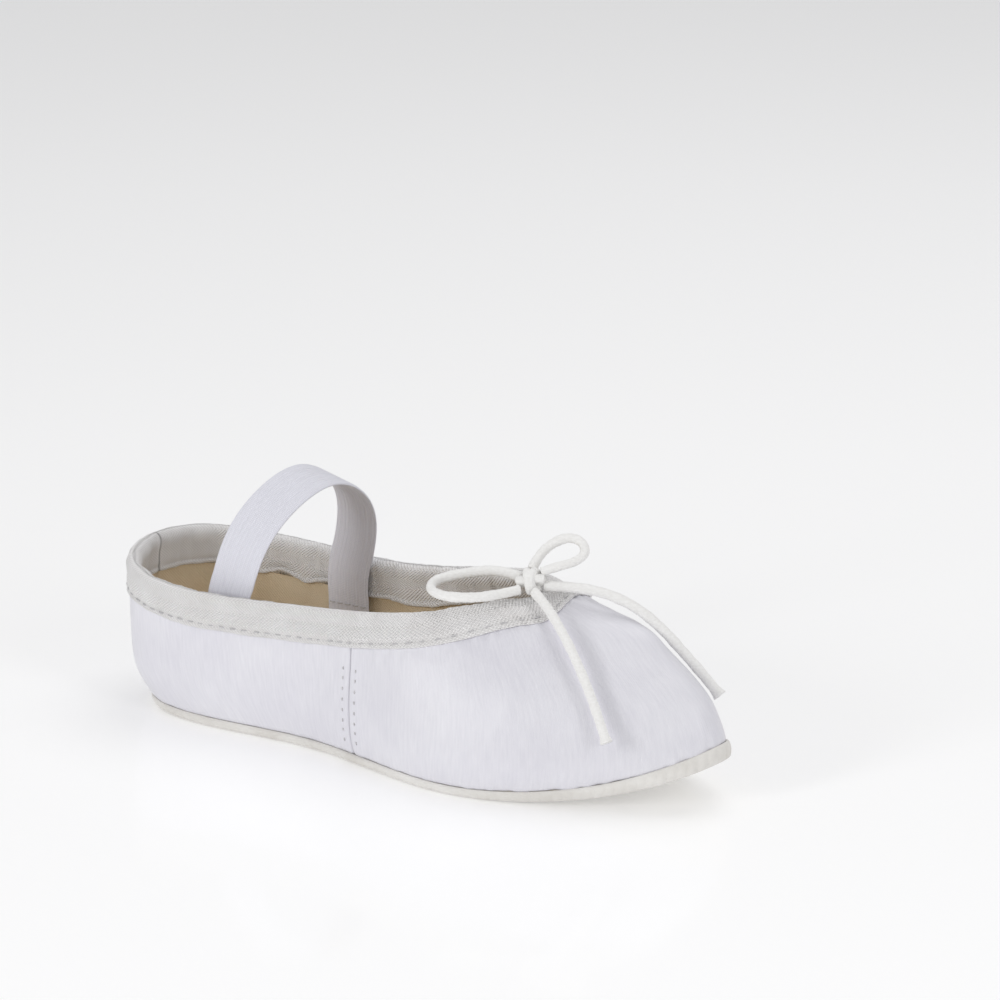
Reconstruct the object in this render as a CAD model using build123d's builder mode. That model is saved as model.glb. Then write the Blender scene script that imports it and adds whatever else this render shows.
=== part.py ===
"""Child's satin ballet slipper with a drawstring bow and an elastic instep strap.

The shoe points along +X, its right side is -Y, and it stands on Z = 0. Distances called "from the heel"
are measured along the shoe from the back of the heel; along() turns them into X.
Each cloth layer is the space between two nested forms, cut to its own outline seen from the side.
"""

import os
from math import atan2, cos, degrees, pi, radians, sin, tan

from build123d import *

os.makedirs("parts", exist_ok=True)

# ---------------------------------------------------------------- driving dimensions, in millimetres
shoe_length = 175.0
heel_width = 52.0  # of the whole upper, at its widest level
waist_width = 47.0
ball_width = 63.0
toe_width = 38.0  # across the shoulders of the toe

heel_height = 41.0  # top edge at the back
side_height = 36.5  # top edge at its lowest
throat_height = 45.5  # top edge at the front of the opening
throat_position = 123.0  # from the heel
seam_position = 81.5  # side seam, from the heel

satin_thickness = 0.9
lining_thickness = 0.8
tape_thickness = 0.8  # binding, each leg of the fold
binding_depth = 8.5
channel_depth = 3.2  # room for the drawstring, from the top edge to the cut edge of the satin
drawstring_room = 0.15

sole_thickness = 2.2
sole_margin = 0.8  # how far the sole stands out past the satin
board_thickness = 1.2
sock_thickness = 1.0
toe_spring = 12.6  # height of the sole's underside at the tip

cord_diameter = 2.4
knot_radius = 2.6
knot_from_heel, knot_side, knot_height = 122.3, -6.0, 49.7

strap_width = 12.5
strap_thickness = 1.0
strap_position = 45.5  # centre of the strap, from the heel
strap_rise = 29.5  # crown of the strap above the side's top edge
strap_hinge_drop = 3.5  # hinge line below the side's top edge
strap_tab_length = 13.0  # sewn end below the hinge
strap_inset = 0.3  # strap to the binding's inner face
strap_gap = 0.4  # between the moving strap and its sewn ends
strap_lean = 15.0  # forward lean of the strap at rest, in degrees
strap_skew = 11.0  # the strap's left end is sewn further forward, in degrees seen from above
strap_row_inset = 2.0  # rows of stitches from the ends of each sewn end

# Free strands of the bow, point by point: from the heel, to the left, and up.
bow_tail_right_route = [
    (124.4, -8.1, 47.8),
    (129.4, -11.0, 46.3),
    (135.0, -13.6, 42.2),
    (140.7, -16.2, 36.8),
    (146.1, -18.8, 30.4),
    (150.4, -20.6, 23.8),
    (153.2, -21.8, 18.8),
]
bow_tail_left_route = [
    (125.3, -4.6, 48.6),
    (131.5, -2.6, 48.9),
    (139.5, 0.2, 48.0),
    (147.2, 2.6, 44.8),
    (153.2, 4.8, 39.6),
    (158.2, 6.7, 33.8),
    (162.8, 8.4, 28.4),
    (166.4, 9.4, 24.0),
]
bow_loop_right_route = [
    (119.0, -5.3, 49.9),
    (113.0, -5.0, 50.6),
    (107.0, -6.8, 49.8),
    (101.6, -9.8, 48.6),
    (98.9, -14.0, 47.8),
    (100.8, -18.3, 47.0),
    (106.0, -20.2, 46.8),
    (111.6, -18.8, 47.0),
    (116.6, -14.8, 47.2),
    (120.4, -8.6, 47.8),
]
bow_loop_left_route = [
    (121.1, -3.9, 52.0),
    (121.6, -1.7, 54.8),
    (123.6, 0.7, 57.5),
    (126.8, 2.9, 59.3),
    (130.4, 3.9, 58.7),
    (132.5, 2.9, 56.3),
    (131.2, 0.3, 54.4),
    (127.8, -2.7, 53.4),
    (124.4, -4.9, 52.1),
]

stitch_length = 2.2
stitch_width = 0.5
stitch_height = 0.3
stitch_pitch = 3.4
seam_row_offset = 2.1  # each row of stitches from the side seam
binding_row_offset = 1.2  # row of stitches from the binding's lower edge
seam_foot = 3.0  # first seam stitch above the sole
seam_head = 1.5  # last seam stitch below the binding
core_overrun = 5.0  # how far the cloth's cutter runs on past the binding

half_reach = shoe_length  # cutters run this far past the shoe on each side
sky = 90.0

# Stations of the form's outline, from the heel; the last two run on from the waist and shorten as
# the tip of a level sets back.
heel_station, waist_station, ball_run, toe_run = 28.0, 66.0, 46.0, 86.0
heel_corner = 0.28  # roundness of the heel seen from above, as a share of its half width

# The upper's form, level by level. Each level: height, heel set in from the back, then the share of
# the named width reached at heel, waist, ball and toe shoulders, then the tip's set-back from the toe.
levels = [
    (-3.0, 9.5, 0.73, 0.80, 0.86, 0.84, 6.6),
    (2.4, 6.6, 0.79, 0.88, 0.94, 0.93, 4.4),
    (9.0, 2.7, 0.90, 0.96, 1.00, 1.00, 2.0),
    (18.0, 0.9, 0.96, 1.00, 0.97, 0.95, 2.6),
    (27.0, 1.2, 0.99, 1.00, 0.89, 0.84, 8.0),
    (36.0, 2.0, 1.00, 0.96, 0.77, 0.66, 19.0),
    (43.0, 2.6, 1.00, 0.90, 0.66, 0.50, 31.5),
    (46.5, 3.0, 0.98, 0.87, 0.60, 0.45, 49.0),
    (52.0, 3.6, 0.95, 0.80, 0.50, 0.38, 75.0),
    (62.0, 4.6, 0.92, 0.70, 0.40, 0.30, 105.0),
]


def along(from_heel):
    """X of a distance measured from the back of the heel."""
    return from_heel - shoe_length / 2


# ---------------------------------------------------------------- forms and side outlines


def form(grow):
    """Solid with the upper's outer shape, grown outwards (and upwards) by grow."""
    with BuildPart() as body:
        for height, inset, heel, waist, ball, toe, setback in levels:
            tip = shoe_length - setback
            reach = (tip - waist_station) / (shoe_length - waist_station)
            heel_half = heel * heel_width / 2
            left_side = [
                (inset + heel_corner * heel_half - 0.7 * grow, 0.72 * heel_half + 0.7 * grow),
                (heel_station, heel_half + grow),
                (waist_station, waist * waist_width / 2 + grow),
                (waist_station + ball_run * reach, ball * ball_width / 2 + grow),
                (waist_station + toe_run * reach, toe * toe_width / 2 + grow),
            ]
            right_side = [(x, -y) for x, y in reversed(left_side)]
            outline = [(inset - grow, 0), *left_side, (tip + grow, 0), *right_side]
            with BuildSketch(Plane.XY.offset(height + grow)):
                with BuildLine():
                    Spline(*[(along(x), y) for x, y in outline], periodic=True)
                make_face()
        loft()
    return body.part


def underside(lift):
    """Points of the sole's underside seen from the side, raised by lift."""
    rise = [(118, 0.0), (135, 0.06), (150, 0.25), (165, 0.63), (175, 1.0), (195, 2.0)]
    return [(along(x), share * toe_spring + lift) for x, share in rise]


def top_edge(down):
    """Points of a line that runs down the cloth by down from the top edge, seen from the side."""
    outline = [  # from the heel, height, and the direction down the cloth there
        (-20.0, heel_height + 3.0, 0.0, -1.0),
        (0.0, heel_height, 0.0, -1.0),
        (14.0, heel_height - 0.62 * (heel_height - side_height), 0.0, -1.0),
        (40.0, side_height, 0.0, -1.0),
        (66.0, side_height + 0.6, 0.0, -1.0),
        (92.0, side_height + 0.40 * (throat_height - side_height), 0.05, -1.0),
        (108.0, side_height + 0.74 * (throat_height - side_height), 0.3, -0.85),
        (117.0, side_height + 0.92 * (throat_height - side_height), 0.65, -0.55),
        (throat_position, throat_height, 1.0, 0.0),
    ]
    return [(along(x + down * dx), z + down * dz) for x, z, dx, dz in outline]


def below(down):
    """Everything lower than the line that lies down below the top edge, and everything past it."""
    line = top_edge(down)
    with BuildPart() as region:
        with BuildSketch(Plane.XZ):
            with BuildLine():
                Spline(*line)
                Polyline(
                    line[-1],
                    (line[-1][0], sky),
                    (along(2 * shoe_length), sky),
                    (along(2 * shoe_length), -sky),
                    (line[0][0], -sky),
                    line[0],
                )
            make_face()
        extrude(amount=half_reach, both=True)
    return region.part


def above_sole(lift):
    """Everything higher than the sole's underside raised by lift."""
    line = underside(lift)
    with BuildPart() as region:
        with BuildSketch(Plane.XZ):
            with BuildLine():
                Spline(*line, tangents=[(1, 0), (1, 1)])
                Polyline(
                    line[-1],
                    (line[-1][0], sky),
                    (along(-shoe_length), sky),
                    (along(-shoe_length), lift),
                    line[0],
                )
            make_face()
        extrude(amount=half_reach, both=True)
    return region.part


def block(low, high):
    """Box between two corners."""
    size = [b - a for a, b in zip(low, high)]
    middle = [(a + b) / 2 for a, b in zip(low, high)]
    with BuildPart() as box:
        with Locations(tuple(middle)):
            Box(*size)
    return box.part


def save(part, name):
    """Label one finished piece and write it."""
    part.label = name
    export_step(part, f"parts/{name}.step")


satin_face = form(0.0)
lining_face = form(-satin_thickness)
inner_face = form(-satin_thickness - lining_thickness)
tape_outer_face = form(tape_thickness)
tape_inner_face = form(-satin_thickness - lining_thickness - tape_thickness)
sole_face = form(sole_margin)

# ---------------------------------------------------------------- sole and insole

board_top = sole_thickness + board_thickness
sock_top = board_top + sock_thickness
over_outsole = above_sole(sole_thickness)
over_board = above_sole(board_top)

with BuildPart() as outsole:
    add(sole_face)
    add(above_sole(0.0), mode=Mode.INTERSECT)
    add(over_outsole, mode=Mode.SUBTRACT)
save(outsole.part, "outsole")

with BuildPart() as insole_board:
    add(inner_face)
    add(over_outsole, mode=Mode.INTERSECT)
    add(over_board, mode=Mode.SUBTRACT)
save(insole_board.part, "insole_board")

with BuildPart() as insole_sock:
    add(inner_face)
    add(over_board, mode=Mode.INTERSECT)
    add(above_sole(sock_top), mode=Mode.SUBTRACT)
save(insole_sock.part, "insole_sock")

# ---------------------------------------------------------------- satin and lining

front = block((along(seam_position), -half_reach, -sky), (along(2 * shoe_length), half_reach, sky))
rear_right = block((along(-shoe_length), -half_reach, -sky), (along(seam_position), 0, sky))
rear_left = block((along(-shoe_length), 0, -sky), (along(seam_position), half_reach, sky))


def cloth_layer(outside, inside):
    """The whole layer between two forms, from the sole up to the cut edge in the binding."""
    with BuildPart() as layer:
        add(outside)
        add(over_outsole, mode=Mode.INTERSECT)
        add(below(channel_depth), mode=Mode.INTERSECT)
        add(inside, mode=Mode.SUBTRACT)
    return layer.part


satin_layer = cloth_layer(satin_face, lining_face)
lining_layer = cloth_layer(lining_face, inner_face)

panels = [
    ("vamp", satin_layer, front),
    ("quarter_right", satin_layer, rear_right),
    ("quarter_left", satin_layer, rear_left),
    ("vamp_lining", lining_layer, front),
    ("quarter_lining_right", lining_layer, rear_right),
    ("quarter_lining_left", lining_layer, rear_left),
]
for panel_name, layer, region in panels:
    with BuildPart() as panel:
        add(layer)
        add(region, mode=Mode.INTERSECT)
    save(panel.part, panel_name)

# ---------------------------------------------------------------- binding and drawstring

with BuildPart() as cloth_core:
    add(satin_face)
    add(below(tape_thickness), mode=Mode.INTERSECT)
    add(below(binding_depth + core_overrun), mode=Mode.SUBTRACT)
    add(inner_face, mode=Mode.SUBTRACT)

with BuildPart() as topline_binding:
    add(tape_outer_face)
    add(below(0.0), mode=Mode.INTERSECT)
    add(below(binding_depth), mode=Mode.SUBTRACT)
    add(tape_inner_face, mode=Mode.SUBTRACT)
    add(cloth_core.part, mode=Mode.SUBTRACT)
save(topline_binding.part, "topline_binding")

with BuildPart() as drawstring:
    add(form(-drawstring_room))
    add(below(tape_thickness + drawstring_room), mode=Mode.INTERSECT)
    add(below(channel_depth - drawstring_room), mode=Mode.SUBTRACT)
    add(form(drawstring_room - satin_thickness - lining_thickness), mode=Mode.SUBTRACT)
save(drawstring.part, "drawstring")

# ---------------------------------------------------------------- instep strap


def half_width_at(body, from_heel, height):
    """Half width of a form at one station and height."""
    needle = block((along(from_heel), 0, height), (along(from_heel) + 0.1, half_reach, height + 0.1))
    return (body & needle).bounding_box().max.Y


hinge_height = side_height - strap_hinge_drop
strap_corner_swing = strap_width / 2 * sin(radians(strap_skew))
strap_reach = (
    min(half_width_at(tape_inner_face, strap_position + s * strap_width, hinge_height) for s in (-1, 1))
    - strap_inset
    - strap_corner_swing
    - strap_thickness
)
strap_post = Axis((along(strap_position), 0, 0), (0, 0, 1))  # the strap and its ends are turned about it
strap_plane = Plane(
    origin=(along(strap_position), 0, hinge_height),
    x_dir=(0, 1, 0),
    z_dir=(cos(radians(strap_lean)), 0, -sin(radians(strap_lean))),
)
crown = strap_rise + strap_hinge_drop

with BuildPart() as elastic_strap:
    with BuildSketch(strap_plane):
        Ellipse(strap_reach + strap_thickness, crown)
        Ellipse(strap_reach, crown - strap_thickness, mode=Mode.SUBTRACT)
        with Locations((0, -crown / 2)):
            Rectangle(3 * strap_reach, crown, mode=Mode.SUBTRACT)
        for side in (-1, 1):
            with Locations((side * (strap_reach + strap_thickness / 2), -strap_width / 4)):
                Rectangle(strap_thickness, strap_width / 2)
    extrude(amount=strap_width / 2, both=True)
    with BuildSketch(Plane.XZ) as silhouette:
        with Locations((along(strap_position), hinge_height)):
            Circle(strap_width / 2)
        with Locations(Location((along(strap_position), hinge_height, 0), (0, 0, -strap_lean))):
            Rectangle(strap_width, 2 * crown, align=(Align.CENTER, Align.MIN))
    extrude(silhouette.sketch, amount=half_reach, both=True, mode=Mode.INTERSECT)
save(elastic_strap.part.rotate(strap_post, -strap_skew), "elastic_strap")

tab_top = hinge_height - strap_width / 2 - strap_gap
for side, side_name in ((-1, "right"), (1, "left")):
    with BuildPart() as strap_end:
        with Locations((along(strap_position), side * (strap_reach + strap_thickness / 2), tab_top)):
            Box(strap_width, strap_thickness, strap_tab_length, align=(Align.CENTER, Align.CENTER, Align.MAX))
    save(strap_end.part.rotate(strap_post, -strap_skew), f"strap_end_{side_name}")

# ---------------------------------------------------------------- bow

knot = Vector(along(knot_from_heel), knot_side, knot_height)

with BuildPart() as bow_knot:
    with Locations(knot):
        Sphere(knot_radius)
save(bow_knot.part, "bow_knot")


def strand(name, points):
    """Tube of cord along straight runs and tangent arcs, each arc as large as its runs allow."""
    places = [Vector(along(x), y, z) for x, y, z in points]
    radii = []
    for before, here, after in zip(places, places[1:], places[2:]):
        turn = radians((here - before).get_angle(after - here))
        shorter = min((here - before).length, (after - here).length)
        radii.append(0.45 * shorter / tan(turn / 2))
    with BuildPart() as cord:
        with BuildLine():
            route = FilletPolyline(*places, radius=radii)
        with BuildSketch(Plane(origin=route @ 0, z_dir=route % 0)):
            Circle(cord_diameter / 2)
        sweep()
    share = cord.part.volume / (pi * cord_diameter**2 / 4 * route.length)
    print(name, "length", round(route.length, 1), "radii", [round(r, 1) for r in radii], round(share, 3))
    save(cord.part, name)


# Each route starts (and each loop ends) just clear of the knot, pointing away from its centre.
strand("bow_tail_right", bow_tail_right_route)
strand("bow_tail_left", bow_tail_left_route)
strand("bow_loop_right", bow_loop_right_route)
strand("bow_loop_left", bow_loop_left_route)

# ---------------------------------------------------------------- stitches

seam_bottom = sole_thickness + seam_foot
seam_top = side_height - binding_depth - seam_head
seam_rows = [seam_position - seam_row_offset, seam_position + seam_row_offset]
seam_levels = [
    seam_bottom + stitch_length / 2 + step * stitch_pitch
    for step in range(int((seam_top - seam_bottom - stitch_length) / stitch_pitch) + 1)
]

with BuildPart() as side_seam_stitches:
    with BuildSketch(Plane.XZ):
        with Locations(*[(along(x), z) for x in seam_rows for z in seam_levels]):
            Rectangle(stitch_width, stitch_length)
    extrude(amount=half_reach, both=True)
    add(form(stitch_height), mode=Mode.INTERSECT)
    add(satin_face, mode=Mode.SUBTRACT)
save(side_seam_stitches.part, "side_seam_stitches")

heel_levels = [z for z in seam_levels if z < heel_height - binding_depth - stitch_length]
with BuildPart() as heel_seam_stitches:
    with BuildSketch(Plane.YZ.offset(along(heel_station))):
        with Locations(*[(y, z) for y in (-seam_row_offset, seam_row_offset) for z in heel_levels]):
            Rectangle(stitch_width, stitch_length)
    extrude(amount=-half_reach)
    add(form(stitch_height), mode=Mode.INTERSECT)
    add(satin_face, mode=Mode.SUBTRACT)
save(heel_seam_stitches.part, "heel_seam_stitches")

with BuildPart() as binding_stitches:
    with BuildLine(mode=Mode.PRIVATE):
        row = Spline(*top_edge(binding_depth - binding_row_offset)[2:-2])
    count = int(row.length / stitch_pitch)
    with BuildSketch(Plane.XZ):
        for step in range(count + 1):
            spot = row @ (step / count)
            slope = row % (step / count)
            with Locations(Location((spot.X, spot.Y, 0), (0, 0, degrees(atan2(slope.Y, slope.X))))):
                Rectangle(stitch_length, stitch_width)
    extrude(amount=half_reach, both=True)
    add(form(tape_thickness + stitch_height), mode=Mode.INTERSECT)
    add(tape_outer_face, mode=Mode.SUBTRACT)
save(binding_stitches.part, "binding_stitches")

with BuildPart() as strap_stitches:
    for side in (-1, 1):
        inner = side * (strap_reach - stitch_height / 2)
        for row_drop in (strap_row_inset, strap_tab_length - strap_row_inset):
            for step in range(-1, 2):
                with Locations((along(strap_position) + step * stitch_pitch, inner, tab_top - row_drop)):
                    Box(stitch_length, stitch_height, stitch_width)
save(strap_stitches.part.rotate(strap_post, -strap_skew), "strap_stitches")
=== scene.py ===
from math import cos, pi, radians, sin

import bmesh
import bpy
import numpy as np
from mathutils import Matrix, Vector, noise


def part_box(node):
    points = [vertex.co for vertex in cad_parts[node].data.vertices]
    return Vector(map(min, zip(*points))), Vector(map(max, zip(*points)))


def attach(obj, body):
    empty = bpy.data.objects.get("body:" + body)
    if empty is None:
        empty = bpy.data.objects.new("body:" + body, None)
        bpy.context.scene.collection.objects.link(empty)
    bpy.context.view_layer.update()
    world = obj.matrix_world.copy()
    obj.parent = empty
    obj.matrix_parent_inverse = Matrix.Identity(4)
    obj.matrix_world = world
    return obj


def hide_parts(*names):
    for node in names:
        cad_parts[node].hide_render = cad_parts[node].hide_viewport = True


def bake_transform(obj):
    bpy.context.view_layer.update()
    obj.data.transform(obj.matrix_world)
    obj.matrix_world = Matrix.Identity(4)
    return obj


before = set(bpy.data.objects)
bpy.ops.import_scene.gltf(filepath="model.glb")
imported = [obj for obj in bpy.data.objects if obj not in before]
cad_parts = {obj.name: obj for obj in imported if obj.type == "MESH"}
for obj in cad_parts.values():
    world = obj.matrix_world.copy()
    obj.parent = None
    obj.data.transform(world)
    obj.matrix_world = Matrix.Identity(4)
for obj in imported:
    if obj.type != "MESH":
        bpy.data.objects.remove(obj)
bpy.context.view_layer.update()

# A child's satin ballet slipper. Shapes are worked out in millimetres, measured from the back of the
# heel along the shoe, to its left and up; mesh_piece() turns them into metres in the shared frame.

MM = 0.001


# ---------------------------------------------------------------- camera

view_azimuth, view_elevation = radians(33.5), radians(18.5)
view_distance, view_lens, sensor_width = 0.95, 134.4, 36.0
view_target = Vector((-0.0065, 0.012, 0.022))
aim_right, aim_up = 0.01875, 0.0375  # the frame's centre from the target, per unit of distance

right = Vector((cos(view_azimuth), sin(view_azimuth), 0))
back = Vector((
    sin(view_azimuth) * cos(view_elevation),
    -cos(view_azimuth) * cos(view_elevation),
    sin(view_elevation),
))
up = back.cross(right)
camera = bpy.data.objects.new("camera", bpy.data.cameras.new("camera"))
camera.location = view_target + view_distance * back
camera.rotation_euler = (aim_right * right + aim_up * up - back).to_track_quat("-Z", "Y").to_euler()
camera.data.lens = view_lens
camera.data.sensor_width = sensor_width
bpy.context.scene.collection.objects.link(camera)
bpy.context.scene.camera = camera


# ---------------------------------------------------------------- the slipper's sizes

heel_width, waist_width, ball_width, toe_width = 52.0, 47.0, 63.0, 38.0
heel_height, side_height, throat_height = 41.0, 36.5, 45.5
throat_position, seam_position = 123.0, 81.5
satin_thickness, lining_thickness = 0.9, 0.8
binding_depth, inner_depth = 8.5, 9.6  # of the tape, outside and inside
sole_thickness, toe_spring = 2.2, 12.6
toe_wrap = 1.9  # how much further the sole wraps up at the tip
sock_top = 4.4  # top of the sock above the sole's underside
cord_diameter = 2.4
strap_width, strap_thickness = 12.5, 1.0
strap_position, strap_lean, strap_skew = 45.5, radians(15), radians(11)
strap_hinge = 33.0  # height where the strap begins to swing
seam_row_offset = 2.1  # each row of stitches from the seam
seam_start, seam_head, heel_seam_head = 6.2, 1.5, 3.0  # first stitch's height, last one below the tape
seam_stitch, row_stitch = 1.1, 1.9  # lengths of the seams' stitches, and the tape's and strap's
binding_row_depth, binding_pitch = 7.0, 3.2
tuck_depth = 4.2  # how far below the top edge the cloth ends, under the tape
satin_back, lining_face = -0.8, -1.0  # the satin's inner face and the lining's outer, from the satin's face

inside = satin_thickness + lining_thickness  # from the satin's face to the lining's face

# Outline stations and levels of the upper's form: height, heel inset, the share of the heel, waist,
# ball and toe half widths, and the tip's set-back.
heel_station, waist_station, ball_run, toe_run, heel_corner = 28.0, 66.0, 46.0, 86.0, 0.28
levels = [
    (-3.0, 9.5, 0.73, 0.80, 0.86, 0.84, 6.6),
    (2.4, 6.6, 0.79, 0.88, 0.94, 0.93, 4.4),
    (9.0, 2.7, 0.90, 0.96, 1.00, 1.00, 2.0),
    (18.0, 0.9, 0.96, 1.00, 0.97, 0.95, 2.6),
    (27.0, 1.2, 0.99, 1.00, 0.89, 0.84, 8.0),
    (36.0, 2.0, 1.00, 0.96, 0.77, 0.66, 19.0),
    (43.0, 2.6, 1.00, 0.90, 0.66, 0.50, 31.5),
    (46.5, 3.0, 0.98, 0.87, 0.60, 0.45, 49.0),
    (52.0, 3.6, 0.95, 0.80, 0.50, 0.38, 75.0),
    (62.0, 4.6, 0.92, 0.70, 0.40, 0.30, 105.0),
]


# ---------------------------------------------------------------- the upper's surface


def spline(knots, values, at):
    """Natural cubic spline through values at rising knots, worked out at the places at."""
    knots, values, at = (np.asarray(x, float) for x in (knots, values, at))
    gaps = np.diff(knots)
    slopes = np.diff(values, axis=0) / gaps.reshape(-1, *[1] * (values.ndim - 1))
    count = len(knots)
    system = np.eye(count)
    bends = np.zeros_like(values)
    for i in range(1, count - 1):
        system[i, i - 1 : i + 2] = gaps[i - 1], 2 * (gaps[i - 1] + gaps[i]), gaps[i]
        bends[i] = 6 * (slopes[i] - slopes[i - 1])
    bends = np.linalg.solve(system, bends.reshape(count, -1)).reshape(values.shape)
    i = np.clip(np.searchsorted(knots, at) - 1, 0, count - 2)
    gap = gaps[i].reshape(-1, *[1] * (values.ndim - 1))
    low = (at - knots[i]).reshape(gap.shape)
    high = gap - low
    return (
        (bends[i] * high**3 + bends[i + 1] * low**3) / (6 * gap)
        + (values[i] / gap - bends[i] * gap / 6) * high
        + (values[i + 1] / gap - bends[i + 1] * gap / 6) * low
    )


def half_outline(level, places):
    """The left half of one level, from the heel to the toe."""
    height, inset, heel, waist, ball, toe, setback = level
    tip = shoe_span - setback
    reach = (tip - waist_station) / (shoe_span - waist_station)
    heel_half = heel * heel_width / 2
    left = [
        (inset + heel_corner * heel_half, 0.72 * heel_half),
        (heel_station, heel_half),
        (waist_station, waist * waist_width / 2),
        (waist_station + ball_run * reach, ball * ball_width / 2),
        (waist_station + toe_run * reach, toe * toe_width / 2),
    ]
    lap = [(inset, 0), *left, (tip, 0), *[(x, -y) for x, y in reversed(left)]]
    points = np.array(lap * 3 + lap[:1], float)  # three laps, so that the middle one closes smoothly
    knots = np.concatenate([[0], np.cumsum(np.linalg.norm(np.diff(points, axis=0), axis=1))])
    one_lap = knots[len(lap)]
    return spline(knots, points, one_lap * (1 + places))


shoe_span = 175.0  # of the form, heel to toe
places = np.linspace(0, 0.5, 500)
heights = np.arange(-2, 60.01, 0.25)
table = spline([level[0] for level in levels], [half_outline(level, places) for level in levels], heights)
table[:, 0, 1] = table[:, -1, 1] = 0
seam_place = np.array([np.interp(seam_position, row[:, 0], places) for row in table])


def columns(stations):
    """Lines up the form: station 0 is the heel, 1 the left seam, 2 the toe, 3 the right seam, 4 the heel."""
    lines = np.empty((len(stations), len(heights), 3))
    for i, station in enumerate(stations):
        side = 1 if station <= 2 else -1
        share = station if station <= 2 else 4 - station
        place = seam_place * min(share, 1) + (0.5 - seam_place) * max(share - 1, 0)
        for j, row in enumerate(table):
            lines[i, j, 0] = np.interp(place[j], places, row[:, 0])
            lines[i, j, 1] = side * np.interp(place[j], places, row[:, 1])
        lines[i, :, 2] = heights
    return lines


def underside(x):
    """Height of the sole's underside."""
    rise = [(70, 0), (100, 0), (118, 0), (135, 0.06), (150, 0.25), (165, 0.63), (175, 1.0), (195, 2.0)]
    at, share = zip(*rise)
    x = np.asarray(x, float)
    return np.where(x > 118, toe_spring * spline(at, share, x.ravel()).reshape(x.shape), 0.0).clip(0)


def wrap(x):
    """How much higher the sole's edge stands towards the toe."""
    return toe_wrap * np.clip((x - 112) / 60, 0, 1) ** 1.3


def top_edge(x):
    """Height of the top edge along the sides."""
    drop, rise = heel_height - side_height, throat_height - side_height
    outline = [
        (-20, heel_height + 3),
        (0, heel_height),
        (14, heel_height - 0.62 * drop),
        (40, side_height),
        (66, side_height + 0.6),
        (92, side_height + 0.40 * rise),
        (108, side_height + 0.74 * rise),
        (117, side_height + 0.92 * rise),
        (throat_position, throat_height),
        (throat_position + 12, throat_height + 0.8),
    ]
    at, height = zip(*outline)
    return spline(at, height, x)


def crossing(values, along):
    """Where values, which rise along a line, first pass zero."""
    i = max(int(np.argmax(values > 0)), 1)
    share = values[i - 1] / (values[i - 1] - values[i])
    return along[i - 1] + share * (along[i] - along[i - 1])


def smooth_ring(values, width):
    """values round a ring, evened out over width neighbours each way."""
    weights = np.hanning(2 * width + 3)[1:-1]
    ring = np.concatenate([values[-width:], values, values[:width]])
    return np.convolve(ring, weights / weights.sum(), "valid")


class Skin:
    """The upper's outer face as columns round the shoe, each measured in millimetres up from the sole."""

    def __init__(self, rear, front):
        quarter = np.linspace(0, 1, rear, endpoint=False)
        half_vamp = 1 + np.linspace(0, 1, front, endpoint=False)
        left = np.concatenate([quarter, half_vamp, [2.0]])
        self.stations = np.concatenate([left, 4 - left[-2:0:-1]])
        self.lines = columns(self.stations)
        steps = np.linalg.norm(np.diff(self.lines, axis=1), axis=2)
        self.run = np.concatenate([np.zeros((len(steps), 1)), np.cumsum(steps, axis=1)], axis=1)
        foot, top = [], []
        for line, run in zip(self.lines, self.run):
            x, z = line[:, 0], line[:, 2]
            foot.append(crossing(z - underside(x) - sole_thickness - wrap(x), run))
            low = np.minimum(z - top_edge(x), throat_position - x)
            low[z < 30] = -1
            top.append(crossing(low, run))
        self.foot, self.top = np.array(foot), smooth_ring(np.array(top), 5)
        rim = self.at(self.top)
        probe = self.at(self.top - binding_depth)
        gap = np.array([np.linalg.norm(rim - p, axis=1).min() for p in probe])
        self.slant = smooth_ring(binding_depth / gap, 4)  # columns that meet the top edge at a slant
        steps = np.linalg.norm(np.roll(rim, -1, axis=0) - rim, axis=1)
        self.around = np.concatenate([[0], np.cumsum(steps)[:-1]])  # millimetres along the top edge
        self.lap = steps.sum()

    def at(self, run):
        """One point on each column."""
        return np.stack([
            [np.interp(r, rr, line[:, k]) for r, rr, line in zip(run, self.run, self.lines)] for k in range(3)
        ], axis=1)

    def grid(self, runs):
        """Points and outward normals where the columns are cut by rows; runs is (columns, rows)."""
        points = np.stack([self.at(runs[:, j]) for j in range(runs.shape[1])], axis=1)
        across = np.roll(points, -1, axis=0) - np.roll(points, 1, axis=0)
        step = 0.3
        rise = np.stack([
            self.at(runs[:, j] + step) - self.at(runs[:, j] - step) for j in range(runs.shape[1])
        ], axis=1)
        normals = np.cross(rise, across)
        normals /= np.linalg.norm(normals, axis=2, keepdims=True)
        centre = points.mean(axis=(0, 1))
        if np.sum((points[:, 0] - centre) * normals[:, 0]) < 0:
            normals = -normals
        return points, normals

    def down(self, depths):
        """Runs of rows that lie depths below the top edge; depths is (rows,)."""
        return self.top[:, None] - self.slant[:, None] * np.asarray(depths, float)[None, :]


# ---------------------------------------------------------------- meshes


def mesh_piece(name, points, faces, cloth=None, merge=0.0):
    """Object from points in millimetres from the heel; cloth is each point's place on the flat cloth."""
    shift = np.array([-shoe_span / 2, 0, 0])
    mesh = bpy.data.meshes.new(name)
    mesh.from_pydata(((np.asarray(points) + shift) * MM).tolist(), [], [tuple(map(int, f)) for f in faces])
    if cloth is not None:
        layer = mesh.attributes.new("cloth", "FLOAT_VECTOR", "POINT")
        layer.data.foreach_set("vector", np.asarray(cloth, np.float32).ravel())
    mesh.validate()
    piece = bpy.data.objects.new(name, mesh)
    bpy.context.scene.collection.objects.link(piece)
    body = bmesh.new()
    body.from_mesh(mesh)
    if merge:
        bmesh.ops.remove_doubles(body, verts=body.verts, dist=merge * MM)
    bmesh.ops.recalc_face_normals(body, faces=body.faces)
    body.to_mesh(mesh)
    body.free()
    mesh.shade_smooth()
    return piece


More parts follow.
